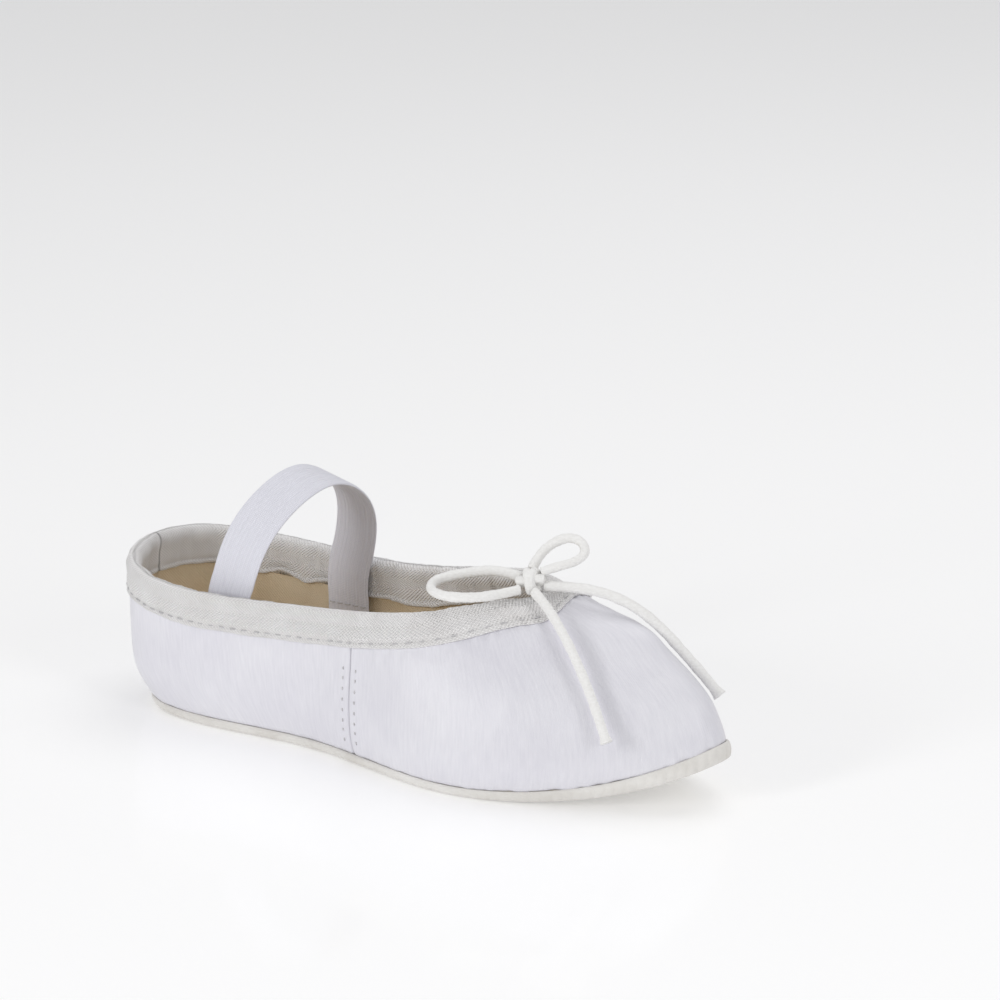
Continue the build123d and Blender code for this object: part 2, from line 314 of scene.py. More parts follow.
def quads(rows, cols, first=0, close_rows=False, close_cols=False):
    """Faces of a grid whose points are stored row by row."""
    faces = []
    for i in range(rows if close_rows else rows - 1):
        for j in range(cols if close_cols else cols - 1):
            a, b = i * cols + j, i * cols + (j + 1) % cols
            c, d = (i + 1) % rows * cols + (j + 1) % cols, (i + 1) % rows * cols + j
            faces.append((first + a, first + b, first + c, first + d))
    return faces


def finish_piece(piece, body, slot, look, *nodes, smooth=0):
    """Put a piece on its body and in its material, in place of CAD nodes; slot is not used."""
    piece.data.materials.clear()
    piece.data.materials.append(look)
    if smooth:
        modifier = piece.modifiers.new("smooth", "SUBSURF")
        modifier.levels = modifier.render_levels = smooth
        bpy.context.view_layer.objects.active = piece
        with bpy.context.temp_override(object=piece):
            bpy.ops.object.modifier_apply(modifier="smooth")
    if body:  # a piece that bends across a joint has none
        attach(piece, body)
    if nodes:
        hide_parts(*nodes)
    return piece


def ripple(x, y, z, seed=0.0):
    """Smooth noise from -1 to 1."""
    return noise.noise(Vector((x, y, z + 17.3 * seed)))


# ---------------------------------------------------------------- materials

bump_unit = 0.001


def new_look(name, colour, roughness, **sockets):
    """Material with a Principled shader; sockets are its other constant values."""
    look = bpy.data.materials.new(name)
    look.use_nodes = True
    shader = look.node_tree.nodes["Principled BSDF"]
    shader.inputs["Base Color"].default_value = (*colour, 1)
    shader.inputs["Roughness"].default_value = roughness
    for socket, value in sockets.items():
        shader.inputs[socket.replace("_", " ")].default_value = value
    return look, look.node_tree, shader


def add_node(tree, kind, inputs=(), **settings):
    """One node; inputs are pairs of a socket and a value or another node's output."""
    node = tree.nodes.new(kind)
    for key, value in settings.items():
        setattr(node, key, value)
    for socket, value in inputs:
        if hasattr(value, "links"):
            tree.links.new(value, node.inputs[socket])
        else:
            node.inputs[socket].default_value = value
    return node


def math_node(tree, operation, first, second=0.0):
    return add_node(tree, "ShaderNodeMath", [(0, first), (1, second)], operation=operation).outputs[0]


def cloth_place(tree):
    """Millimetres along and across the flat cloth."""
    place = add_node(tree, "ShaderNodeAttribute", attribute_name="cloth")
    split = add_node(tree, "ShaderNodeSeparateXYZ", [(0, place.outputs["Vector"])])
    return place.outputs["Vector"], split.outputs[0], split.outputs[1]


def body_place(tree):
    """Millimetres in the object's own space."""
    place = add_node(tree, "ShaderNodeTexCoord").outputs["Object"]
    scaled = add_node(tree, "ShaderNodeVectorMath", [(0, place), ("Scale", 1 / MM)], operation="SCALE")
    return scaled.outputs[0]


def speckle(tree, place, scale, detail=3.0, stretch=(1, 1, 1)):
    """Noise with scale features per millimetre."""
    drawn = add_node(tree, "ShaderNodeVectorMath", [(0, place), (1, stretch)], operation="MULTIPLY")
    drawn = drawn.outputs[0]
    sockets = [("Vector", drawn), ("Scale", scale), ("Detail", detail)]
    return add_node(tree, "ShaderNodeTexNoise", sockets).outputs[0]


def threads(tree, place, pitch):
    """Rounded threads across place, pitch apart, from 0 to 1."""
    turn = math_node(tree, "SINE", math_node(tree, "MULTIPLY", place, 2 * pi / pitch))
    return math_node(tree, "MULTIPLY_ADD", turn, 0.5)


def blend_colours(tree, share, low, high):
    mix = add_node(tree, "ShaderNodeMix", data_type="RGBA")
    tree.links.new(share, mix.inputs["Factor"])
    mix.inputs["A"].default_value = (*low, 1)
    mix.inputs["B"].default_value = (*high, 1)
    return mix.outputs["Result"]


def relief(tree, shader, layers):
    """Bump in millimetres: layers are pairs of a height from 0 to 1 and its depth."""
    normal = None
    for height, depth in layers:
        bump = add_node(tree, "ShaderNodeBump", [("Height", height), ("Distance", depth * bump_unit)])
        if normal is not None:
            tree.links.new(normal, bump.inputs["Normal"])
        normal = bump.outputs[0]
    tree.links.new(normal, shader.inputs["Normal"])


def stretched(tree, value, low, high):
    """value from low..high to 0..1."""
    return add_node(tree, "ShaderNodeMapRange", [(0, value), (1, low), (2, high)]).outputs[0]


def satin_look():
    look, tree, shader = new_look(
        "satin", (0.80, 0.79, 0.84), 0.34, Sheen_Weight=0.25, Sheen_Roughness=0.4,
        Specular_IOR_Level=0.55, Anisotropic=0.45,
    )
    place, along, across = cloth_place(tree)
    cloud = speckle(tree, place, 0.035, 3)
    grain = speckle(tree, place, 0.9, 2, (1.6, 0.18, 1))
    weft = threads(tree, along, 0.42)
    warp = threads(tree, across, 0.30)
    tint = blend_colours(tree, stretched(tree, cloud, 0.3, 0.7), (0.765, 0.755, 0.81), (0.83, 0.825, 0.865))
    slub = blend_colours(tree, stretched(tree, grain, 0.3, 0.75), (0.93, 0.93, 0.94), (1, 1, 1))
    mixed = add_node(tree, "ShaderNodeMix", data_type="RGBA", blend_type="MULTIPLY")
    mixed.inputs["Factor"].default_value = 1
    tree.links.new(tint, mixed.inputs["A"])
    tree.links.new(slub, mixed.inputs["B"])
    tree.links.new(mixed.outputs["Result"], shader.inputs["Base Color"])
    rough = add_node(tree, "ShaderNodeMapRange", [(0, grain), (3, 0.27), (4, 0.44)])
    tree.links.new(rough.outputs[0], shader.inputs["Roughness"])
    relief(tree, shader, [(cloud, 0.5), (grain, 0.05), (weft, 0.018), (warp, 0.012)])
    return look


def twill_look():
    look, tree, shader = new_look(
        "cotton_twill", (0.80, 0.66, 0.47), 0.85, Sheen_Weight=0.3, Specular_IOR_Level=0.2,
    )
    place, along, across = cloth_place(tree)
    twill = threads(tree, math_node(tree, "ADD", along, across), 0.85)
    weft = threads(tree, across, 0.45)
    cloud = speckle(tree, place, 0.08, 4)
    fleck = speckle(tree, place, 1.6, 3, (1, 0.5, 1))
    tint = blend_colours(tree, stretched(tree, cloud, 0.3, 0.7), (0.76, 0.62, 0.43), (0.84, 0.72, 0.54))
    lines = blend_colours(tree, math_node(tree, "MULTIPLY", twill, fleck), (0.93, 0.92, 0.90), (1, 1, 1))
    mixed = add_node(tree, "ShaderNodeMix", data_type="RGBA", blend_type="MULTIPLY")
    mixed.inputs["Factor"].default_value = 1
    tree.links.new(tint, mixed.inputs["A"])
    tree.links.new(lines, mixed.inputs["B"])
    tree.links.new(mixed.outputs["Result"], shader.inputs["Base Color"])
    relief(tree, shader, [(twill, 0.10), (weft, 0.04), (fleck, 0.10)])
    return look


def herringbone_look():
    look, tree, shader = new_look(
        "herringbone_tape", (0.90, 0.89, 0.88), 0.72, Sheen_Weight=0.35, Specular_IOR_Level=0.3,
    )
    place, along, across = cloth_place(tree)
    slant = math_node(tree, "PINGPONG", across, 2.9)
    chevron = threads(tree, math_node(tree, "ADD", along, math_node(tree, "MULTIPLY", slant, 1.25)), 0.95)
    weft = threads(tree, math_node(tree, "SUBTRACT", across, math_node(tree, "MULTIPLY", along, 0.1)), 0.4)
    fleck = speckle(tree, place, 1.8, 3)
    cloud = speckle(tree, place, 0.12, 3)
    tint = blend_colours(tree, stretched(tree, cloud, 0.3, 0.7), (0.86, 0.845, 0.835), (0.93, 0.925, 0.92))
    lines = blend_colours(tree, chevron, (0.88, 0.87, 0.87), (1, 1, 1))
    mixed = add_node(tree, "ShaderNodeMix", data_type="RGBA", blend_type="MULTIPLY")
    mixed.inputs["Factor"].default_value = 1
    tree.links.new(tint, mixed.inputs["A"])
    tree.links.new(lines, mixed.inputs["B"])
    tree.links.new(mixed.outputs["Result"], shader.inputs["Base Color"])
    relief(tree, shader, [(chevron, 0.20), (weft, 0.04), (fleck, 0.08)])
    return look


def elastic_look():
    look, tree, shader = new_look(
        "ribbed_elastic", (0.80, 0.80, 0.86), 0.6, Sheen_Weight=0.3, Specular_IOR_Level=0.35,
    )
    place, along, across = cloth_place(tree)
    picks = threads(tree, along, 0.45)
    cores = threads(tree, across, 0.52)
    fleck = speckle(tree, place, 1.4, 3, (2.0, 0.6, 1))
    weave = math_node(tree, "MULTIPLY", picks, cores)
    tint = blend_colours(tree, weave, (0.75, 0.75, 0.82), (0.85, 0.85, 0.90))
    tree.links.new(tint, shader.inputs["Base Color"])
    relief(tree, shader, [(cores, 0.05), (picks, 0.05), (fleck, 0.05)])
    return look


def cotton_look(name, colour, pale):
    look, tree, shader = new_look(name, colour, 0.78, Sheen_Weight=0.4, Specular_IOR_Level=0.25)
    place = body_place(tree)
    fuzz = speckle(tree, place, 2.4, 4)
    strand = speckle(tree, place, 0.9, 2, (1, 1, 2.5))
    tint = blend_colours(tree, stretched(tree, strand, 0.3, 0.7), colour, pale)
    tree.links.new(tint, shader.inputs["Base Color"])
    relief(tree, shader, [(strand, 0.10), (fuzz, 0.10)])
    return look


def suede_look():
    look, tree, shader = new_look(
        "sole_suede", (0.80, 0.78, 0.75), 0.88, Sheen_Weight=0.35, Specular_IOR_Level=0.2,
    )
    place = body_place(tree)
    nap = speckle(tree, place, 1.7, 5)
    scuff = speckle(tree, place, 0.09, 4)
    tint = blend_colours(tree, stretched(tree, scuff, 0.32, 0.68), (0.70, 0.675, 0.635), (0.82, 0.805, 0.775))
    tree.links.new(tint, shader.inputs["Base Color"])
    relief(tree, shader, [(scuff, 0.15), (nap, 0.12)])
    return look


satin = satin_look()
twill = twill_look()
herringbone = herringbone_look()
elastic = elastic_look()
cord_cotton = cotton_look("cord_cotton", (0.86, 0.85, 0.83), (0.92, 0.915, 0.90))
# The stitches' thread is real, but its grey is painted shade of the needle holes, darker than the cotton's
# own colour, so the stitches read as dots.
thread_painted_shade = cotton_look("thread_painted_shade", (0.50, 0.49, 0.50), (0.66, 0.65, 0.66))
board_pulp = cotton_look("board_pulp", (0.72, 0.67, 0.57), (0.80, 0.75, 0.66))
suede = suede_look()


# ---------------------------------------------------------------- bow cords

# Each free strand from the knot outwards, point by point in metres in the shared frame.
strands = {
    "bow_tail_right": [
        (0.0369, -0.0081, 0.0478), (0.0419, -0.0110, 0.0463), (0.0475, -0.0136, 0.0422),
        (0.0532, -0.0162, 0.0368), (0.0586, -0.0188, 0.0304), (0.0629, -0.0206, 0.0238),
        (0.0657, -0.0218, 0.0188),
    ],
    "bow_tail_left": [
        (0.0378, -0.0046, 0.0486), (0.0440, -0.0026, 0.0489), (0.0520, 0.0002, 0.0480),
        (0.0597, 0.0026, 0.0448), (0.0657, 0.0048, 0.0396), (0.0707, 0.0067, 0.0338),
        (0.0753, 0.0084, 0.0284), (0.0789, 0.0094, 0.0240),
    ],
    "bow_loop_right": [
        (0.0315, -0.0053, 0.0499), (0.0255, -0.0050, 0.0506), (0.0195, -0.0068, 0.0498),
        (0.0141, -0.0098, 0.0486), (0.0114, -0.0140, 0.0478), (0.0133, -0.0183, 0.0470),
        (0.0185, -0.0202, 0.0468), (0.0241, -0.0188, 0.0470), (0.0291, -0.0148, 0.0472),
        (0.0329, -0.0086, 0.0478),
    ],
    "bow_loop_left": [
        (0.0336, -0.0039, 0.0520), (0.0341, -0.0017, 0.0548), (0.0361, 0.0007, 0.0575),
        (0.0393, 0.0029, 0.0593), (0.0429, 0.0039, 0.0587), (0.0450, 0.0029, 0.0563),
        (0.0437, 0.0003, 0.0544), (0.0403, -0.0027, 0.0534), (0.0369, -0.0049, 0.0521),
    ],
}
strand_facts = {  # body, far end, real length in metres
    "bow_tail_right": ("tail_right", "bare", 0.044),
    "bow_tail_left": ("tail_left", "bare", 0.054),
    "bow_loop_right": ("loop_right", "knot", 0.050),
    "bow_loop_left": ("loop_left", "knot", 0.030),
}


def route_line(name, points):
    """Points, in metres, along the smooth NURBS line of a route."""
    data = bpy.data.curves.new(name + "_line", "CURVE")
    data.dimensions = "3D"
    data.resolution_u = 12
    line = data.splines.new("NURBS")
    line.points.add(len(points) - 1)
    for point, place in zip(line.points, points):
        point.co = (*place, 1)
    line.order_u = 3
    line.use_endpoint_u = True
    holder = bpy.data.objects.new(name + "_line", data)
    mesh = bpy.data.meshes.new_from_object(holder)
    found = np.array([v.co[:] for v in mesh.vertices])
    bpy.data.objects.remove(holder)
    bpy.data.meshes.remove(mesh)
    return found


def even_steps(line, step):
    """The same line cut into even steps."""
    run = np.concatenate([[0], np.cumsum(np.linalg.norm(np.diff(line, axis=0), axis=1))])
    at = np.linspace(0, run[-1], max(int(run[-1] / step), 2) + 1)
    return np.stack([np.interp(at, run, line[:, k]) for k in range(3)], axis=1), at


def tube(line, run, radius_at, sides=20, start=None):
    """Points and faces of a braided tube along line, all in millimetres."""
    ahead = np.gradient(line, axis=0)
    ahead /= np.linalg.norm(ahead, axis=1, keepdims=True)
    out = np.array(start if start is not None else (0.0, 0.0, 1.0))
    points = []
    for centre, along, distance in zip(line, ahead, run):
        out = out - along * (out @ along)
        out /= np.linalg.norm(out)
        side = np.cross(along, out)
        for k in range(sides):
            angle = 2 * pi * k / sides
            points.append(centre + radius_at(distance, angle) * (cos(angle) * out + sin(angle) * side))
    faces = quads(len(line), sides, close_cols=True)
    faces.append(tuple(range(sides))[::-1])
    faces.append(tuple((len(line) - 1) * sides + k for k in range(sides)))
    return points, faces


braid_pitch, braid_ends = 3.4, 4


def braid(distance, angle):
    """Relief of a braided cord, from 0 to 1."""
    one = cos(braid_ends * angle / 2 + 2 * pi * distance / braid_pitch)
    other = cos(braid_ends * angle / 2 - 2 * pi * distance / braid_pitch)
    return max(abs(one), abs(other))


def cord_radius(length, cut_end):
    """Radius of a strand: soft, a little flat, and flared where it is cut off."""

    def radius(distance, angle):
        flat = 1 + 0.07 * cos(2 * angle)
        soft = 1 + 0.05 * sin(distance * 1.1) * sin(distance * 0.37 + 1)
        flare = 1.0
        if cut_end:
            flare += 0.30 * max(0.0, 1 - (length - distance) / 3.0) ** 2
        return cord_diameter / 2 * (0.90 + 0.12 * braid(distance, angle)) * flat * soft * flare

    return radius


for name, points in strands.items():
    body, far_end, length = strand_facts[name]
    line, run = even_steps(route_line(name, points), 0.0003)
    origin = np.array([shoe_span / 2, 0, 0])
    shape, faces = tube(line / MM + origin, run / MM, cord_radius(run[-1] / MM, far_end == "bare"))
    piece = mesh_piece(name + "_cord", shape, faces)
    finish_piece(piece, body, "cord", cord_cotton, name)


def knot_piece():
    """The knot: two wraps of the cord round the strands that pass through it."""
    low, high = (np.array(corner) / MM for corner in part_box("bow_knot"))
    centre = (low + high) / 2 + np.array([shoe_span / 2, 0, 0])
    axis = np.array([0.92, 0.30, 0.18])
    axis /= np.linalg.norm(axis)
    tall = np.array([0.0, 0.0, 1.0]) - axis * axis[2]
    tall /= np.linalg.norm(tall)
    wide = np.cross(axis, tall)
    points, faces = [], []

    def add(line, radius):
        run = np.concatenate([[0], np.cumsum(np.linalg.norm(np.diff(line, axis=0), axis=1))])
        shape, found = tube(line, run, lambda d, a: radius * (0.9 + 0.12 * braid(d, a)), start=axis)
        faces.extend(tuple(len(points) + i for i in face) for face in found)
        points.extend(shape)

    turns = np.linspace(0, 2 * pi, 60)
    for shift, tilt, size in ((-0.75, 0.20, 2.15), (0.85, -0.30, 1.95)):
        ring = [
            centre + axis * (shift + tilt * size * sin(t))
            + size * 1.12 * cos(t) * tall + size * 0.92 * sin(t) * wide
            for t in turns
        ]
        add(np.array(ring), 1.05)
    through = np.linspace(-1, 1, 24)
    for across, rise in ((0.8, 0.7), (-0.8, -0.6)):
        strand = [
            centre + axis * 3.4 * t + wide * across * (1 - 0.5 * t * t) + tall * rise * (1 - 0.6 * t * t)
            for t in through
        ]
        add(np.array(strand), 1.15)
    piece = mesh_piece("bow_knot_wraps", points, faces)
    return finish_piece(piece, "root", "cord", cord_cotton, "bow_knot")


knot_piece()


# ---------------------------------------------------------------- satin, lining and binding

skin = Skin(70, 110)
count = len(skin.stations)


def satin_ripple(point, depth, rise):
    """How far the satin stands off its form: puckers under the binding, pleats at the sole, soft folds."""
    x, y, z = point
    pucker = ripple(x * 0.55, y * 0.55, 0.4 * z, 1) * 0.38 * np.exp(-max(depth - binding_depth, 0) / 4.0)
    toe = np.clip((x - 105) / 50, 0, 1)
    pleat = ripple(x * 0.6, y * 0.6, 0, 2) * (0.15 + 0.4 * toe) * np.exp(-rise / 3.0)
    fold = 0.9 * ripple(x * 0.055, y * 0.05, z * 0.03, 3) + 0.28 * ripple(x * 0.16, y * 0.15, z * 0.07, 4)
    off = x - seam_position
    seam = -0.16 * np.exp(-(off / 0.6) ** 2) + 0.16 * np.exp(-(off / 2.2) ** 2)
    heel = -0.35 * np.exp(-(y / 0.5) ** 2) if x < 10 else 0.0
    tuck = -0.20 * np.exp(-rise / 0.7)  # pulled in where it is sewn to the sole
    return pucker + pleat + fold * min(rise / 6, 1) * min(max(depth - 6, 0) / 6, 1) + seam + heel + tuck


def cloth_panel(name, first, last, depth, outer, inner, wave, rows=34):
    """Closed panel of cloth between columns first and last, from the sole to depth below the top edge."""
    picks = np.arange(first, last + 1) % count
    shares = np.linspace(0, 1, rows) ** 1.15
    top = skin.down([depth])[:, 0]
    runs = skin.foot[:, None] + shares[None, :] * (top - skin.foot)[:, None]
    points, normals = skin.grid(runs)
    points, normals, runs = points[picks], normals[picks], runs[picks]
    depths = (skin.top[picks, None] - runs) / skin.slant[picks, None]
    rises = runs - skin.foot[picks, None]
    lift = np.array([
        [wave(points[i, j], depths[i, j], rises[i, j]) for j in range(rows)]
        for i in range(len(picks))
    ])
    face = points + normals * (outer + lift)[..., None]
    back_face = points + normals * (inner + lift)[..., None]
    wide = len(picks)
    middle = points[:, rows // 2]
    along = np.concatenate([[0], np.cumsum(np.linalg.norm(np.diff(middle, axis=0), axis=1))])
    flat = np.stack([np.repeat(along[:, None], rows, 1), rises, np.zeros_like(rises)], axis=2)
    faces = quads(wide, rows) + [f[::-1] for f in quads(wide, rows, wide * rows)]
    edge = [i * rows for i in range(wide)] + [(wide - 1) * rows + j for j in range(1, rows)]
    edge += [i * rows + rows - 1 for i in range(wide - 2, -1, -1)] + list(range(rows - 2, 0, -1))
    for a, b in zip(edge, edge[1:] + edge[:1]):
        faces.append((a, b, b + wide * rows, a + wide * rows))
    shape = np.concatenate([face.reshape(-1, 3), back_face.reshape(-1, 3)])
    piece = mesh_piece(name, shape, faces, np.concatenate([flat.reshape(-1, 3)] * 2))
    return piece, (float(rises[:, -1].max()), along[-1], grid_area(face))


def grid_area(points):
    """Area of a grid of points."""
    one = np.cross(points[1:, :-1] - points[:-1, :-1], points[:-1, 1:] - points[:-1, :-1])
    other = np.cross(points[:-1, 1:] - points[1:, 1:], points[1:, :-1] - points[1:, 1:])
    return (np.linalg.norm(one, axis=2).sum() + np.linalg.norm(other, axis=2).sum()) / 2


def declare_cloth(piece, cut):
    """cut is the flat cloth's width, length and area in millimetres."""
    width, length, area = cut
    print("sheet", piece.name, "cut", round(width, 1), "x", round(length, 1), "area", round(area))
    area = min(area, width * length)


def lining_ripple(point, depth, rise):
    """How far the lining stands off its form: soft folds, and a groove at the heel seam."""
    x, y, z = point
    fold = 0.25 * ripple(x * 0.08, y * 0.08, z * 0.08, 5) + 0.12 * ripple(x * 0.4, y * 0.4, z * 0.1, 6)
    heel = -0.2 * np.exp(-(y / 0.6) ** 2) if x < 12 else 0.0
    return fold * min(rise / 5, 1) - abs(heel)


left_seam = int(np.argmin(abs(skin.stations - 1)))
right_seam = int(np.argmin(abs(skin.stations - 3)))
panels = [
    ("quarter_left", 0, left_seam),
    ("vamp", left_seam, right_seam),
    ("quarter_right", right_seam, count),
]
for name, first, last in panels:
    piece, flat = cloth_panel(name + "_satin", first, last, tuck_depth, 0.0, satin_back, satin_ripple)
    finish_piece(piece, "root", "satin", satin, name, smooth=1)
    declare_cloth(piece, flat)
    lining_node = name.replace("quarter", "quarter_lining") if "quarter" in name else "vamp_lining"
    piece, flat = cloth_panel(
        lining_node + "_twill", first, last, tuck_depth, lining_face, -inside, lining_ripple, rows=22,
    )
    finish_piece(piece, "root", "lining", twill, lining_node)
    declare_cloth(piece, flat)


def binding_piece():
    """Herringbone tape folded over the top edge, gathered by its drawstring."""
    ring = Skin(150, 190)
    profile = [  # depth below the top edge, and out from the satin's face
        (8.05, 0.00), (8.30, 0.30), (8.20, 0.85), (7.85, 1.15), (7.40, 1.10), (7.00, 0.66), (6.60, 0.84),
        (6.3, 0.98), (5.5, 1.00), (4.6, 0.95), (3.8, 0.92), (3.0, 1.02), (2.2, 1.18),
        (1.4, 1.20), (0.6, 1.05),
        (-0.1, 0.70), (-0.6, 0.15), (-0.85, -0.55), (-0.85, -1.25), (-0.55, -2.0), (0.1, -2.6), (0.9, -2.95),
        (1.8, -3.05), (2.8, -2.95), (3.8, -2.75), (4.8, -2.70), (5.8, -2.72), (6.8, -2.75), (7.8, -2.70),
        (8.4, -2.45), (8.9, -2.75), (9.4, -2.85), (9.8, -2.65), (9.9, -2.2), (9.7, -1.85), (8.0, -1.78),
        (5.0, -1.75), (3.2, -1.72), (1.2, -1.62), (0.55, -0.85), (1.2, -0.08), (3.2, 0.02), (6.0, 0.05),
    ]
    depth, out = np.array(profile).T
    out = np.where(out > 0.25, 0.72 * out, out)
    points, normals = ring.grid(ring.down(depth))
    shape = points + normals * out[None, :, None]
    visible = (out > 0.2) | (out < -2.0) | (depth < 0.4)
    wide = len(ring.stations)
    for i in range(wide):
        around = ring.around[i]
        for j in np.flatnonzero(visible):
            u, v = 2 * pi * around / ring.lap, depth[j]
            x, y = 42 * cos(u), 42 * sin(u)
            leg = 3.0 if out[j] > -0.9 else 0.0
            pucker = 0.26 * ripple(x * 1.0, y * 1.0, 0.10 * v + leg, 7)
            fold = 0.42 * ripple(x * 0.33, y * 0.33, 0.09 * v + leg, 8)
            edge = (0.5 if leg else 2.2) * ripple(x * 0.11, y * 0.11, leg, 9) if v > 6.0 else 0.0
            strength = 1.0 if leg else 1.7
            shape[i, j] += normals[i, j] * (pucker + fold) * strength * (1 if out[j] > -0.9 else -1) * 0.9
            shape[i, j, 2] -= edge * min((v - 6.0) / 3.0, 1.0) if v > 6.0 else 0.0
    flat = np.stack([
        np.repeat(ring.around[:, None], len(depth), 1),
        np.where(out > -0.9, depth, -depth)[None, :].repeat(wide, 0),
        np.zeros((wide, len(depth))),
    ], axis=2)
    faces = quads(wide, len(depth), close_rows=True, close_cols=True)
    piece = mesh_piece("topline_binding_tape", shape.reshape(-1, 3), faces, flat.reshape(-1, 3))
    finish_piece(piece, "root", "binding_tape", herringbone, "topline_binding")
    return piece, ring


binding, ring = binding_piece()
tape_width = binding_depth + inner_depth + 3  # both legs and the fold
declare_cloth(binding, (tape_width, ring.lap, tape_width * ring.lap))


# ---------------------------------------------------------------- sole and sock


def sole_piece():
    """Suede sole: flat underside, crimped edge and a lip sewn round the satin."""
    edge = Skin(180, 300)
    low = np.array([
        crossing(line[:, 2] - underside(line[:, 0]), run) for line, run in zip(edge.lines, edge.run)
    ])
    foot = edge.foot
    profile = [  # share of the way up the edge, and out from the satin's face
        (0.0, 0.05), (0.0, 0.30), (0.10, 0.50), (0.30, 0.64), (0.55, 0.70), (0.80, 0.66), (0.96, 0.52),
        (1.05, 0.30), (1.10, 0.00), (1.00, -0.5),
    ]
    share, out = np.array(profile).T
    runs = low[:, None] + share[None, :] * (foot - low)[:, None]
    points, normals = edge.grid(runs)
    normals[..., 2] *= 0.25
    wide = len(low)
    steps = np.linalg.norm(np.diff(points[:, 4], axis=0), axis=1)
    around = np.concatenate([[0], np.cumsum(steps)])
    crimp = np.abs(np.sin(pi * around / 2.6)) ** 0.7 - 0.6
    bite = np.array([0, 0.15, 0.24, 0.26, 0.24, 0.22, 0.20, 0.14, 0, 0])
    wander = np.array([0.20 * ripple(a * 0.12, 0, 0, 11) for a in around])
    reach = out[None, :] + bite[None, :] * crimp[:, None] + wander[:, None] * (bite > 0)
    shape = points + normals * reach[..., None]
    shape[:, :2, 2] = underside(shape[:, :2, 0])
    shape[..., 2] = np.maximum(shape[..., 2], underside(shape[..., 0]))
    half = wide // 2
    faces = quads(wide, len(out), close_rows=True)
    vertices = shape.reshape(-1, 3).tolist()

    def floor_rows(column, height):
        """Rows across the shoe between matching points of the left and the right edge."""
        spans = np.linspace(1, -1, 15)[1:-1]
        first = len(vertices)
        for i in range(1, half):
            a, b = shape[i, column], shape[wide - i, column]
            for m in spans:
                point = (a + b) / 2 + m * (a - b) / 2
                vertices.append((point[0], point[1], height(point[0])))
        cols = len(spans)
        index = lambda i, k: first + (i - 1) * cols + k
        ends = len(out)
        for i in range(1, half - 1):
            faces.append((i * ends + column, (i + 1) * ends + column, index(i + 1, 0), index(i, 0)))
            for k in range(cols - 1):
                faces.append((index(i, k), index(i + 1, k), index(i + 1, k + 1), index(i, k + 1)))
            j = wide - i
            last, beside = index(i, cols - 1), index(i + 1, cols - 1)
            faces.append((last, beside, (j - 1) * ends + column, j * ends + column))
        for i, tip in ((1, 0), (half - 1, half)):
            inner = [index(i, k) for k in range(cols)]
            faces.append((i * ends + column, *inner, (wide - i) * ends + column, tip * ends + column))

    floor_rows(0, lambda x: float(underside(x)))
    floor_rows(len(out) - 1, lambda x: float(underside(x)) + sole_thickness - 0.3)
    piece = mesh_piece("outsole_suede", vertices, faces)
    return finish_piece(piece, "root", "sole_suede", suede, "outsole")


def sock_piece():
    """Cotton sock that covers the board inside, sunk a little in the middle."""
    bed = Skin(70, 90)
    shape, flat = [], []
    rim_runs = np.array([
        crossing(line[:, 2] - underside(line[:, 0]) - sock_top, run) for line, run in zip(bed.lines, bed.run)
    ])
    rim, outward = bed.grid(rim_runs[:, None])
    rim = (rim - (inside + 0.15) * outward)[:, 0]
    wide = len(rim)
    half = wide // 2
    spans = np.linspace(1, -1, 17)
    for top in (True, False):
        for i in range(0, half + 1):
            a, b = rim[i], rim[(wide - i) % wide]
            for m in spans:
                point = (a + b) / 2 + m * (a - b) / 2
                sink = 0.35 * (1 - m**4) * min(1, abs(a[1]) / 12)
                height = float(underside(point[0])) + (sock_top - sink if top else sock_top - 0.9)
                height += 0.18 * ripple(point[0] * 0.1, point[1] * 0.1, 0, 12) if top else 0
                shape.append((point[0], point[1], height))
                flat.append((point[0], point[1], 0))
    cols, rows = len(spans), half + 1
    bed_grid = np.array(shape[: rows * cols]).reshape(rows, cols, 3)
    faces = quads(rows, cols) + [f[::-1] for f in quads(rows, cols, rows * cols)]
    for k in (0, cols - 1):
        for i in range(rows - 1):
            a, b = i * cols + k, (i + 1) * cols + k
            faces.append((a, b, b + rows * cols, a + rows * cols))
    piece = mesh_piece("insole_sock_twill", shape, faces, flat, merge=0.02)
    finish_piece(piece, "root", "sock", twill, "insole_sock")
    declare_cloth(piece, (ball_width - 5, shoe_span - 6, grid_area(bed_grid)))


sole_piece()
sock_piece()
for name, look in (("insole_board", board_pulp), ("drawstring", cord_cotton)):
    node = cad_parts[name]
    node = bpy.data.objects[node] if isinstance(node, str) else node
    node.data.materials.clear()
    node.data.materials.append(look)


# ---------------------------------------------------------------- instep strap


strap_left = np.array([sin(strap_skew), cos(strap_skew), 0])  # towards the strap's left end
strap_slant, strap_ease = 0.25, 0.8  # its ends lie flat on the walls, so it slants instead of turning
end_corners = np.array([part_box("strap_end_left")[0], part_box("strap_end_left")[1]]) / MM
end_middle = end_corners.mean(axis=0) + (shoe_span / 2 - strap_position, 0, 0)
strap_reach = float(end_middle @ strap_left)  # from the shoe's middle to the middle of the elastic


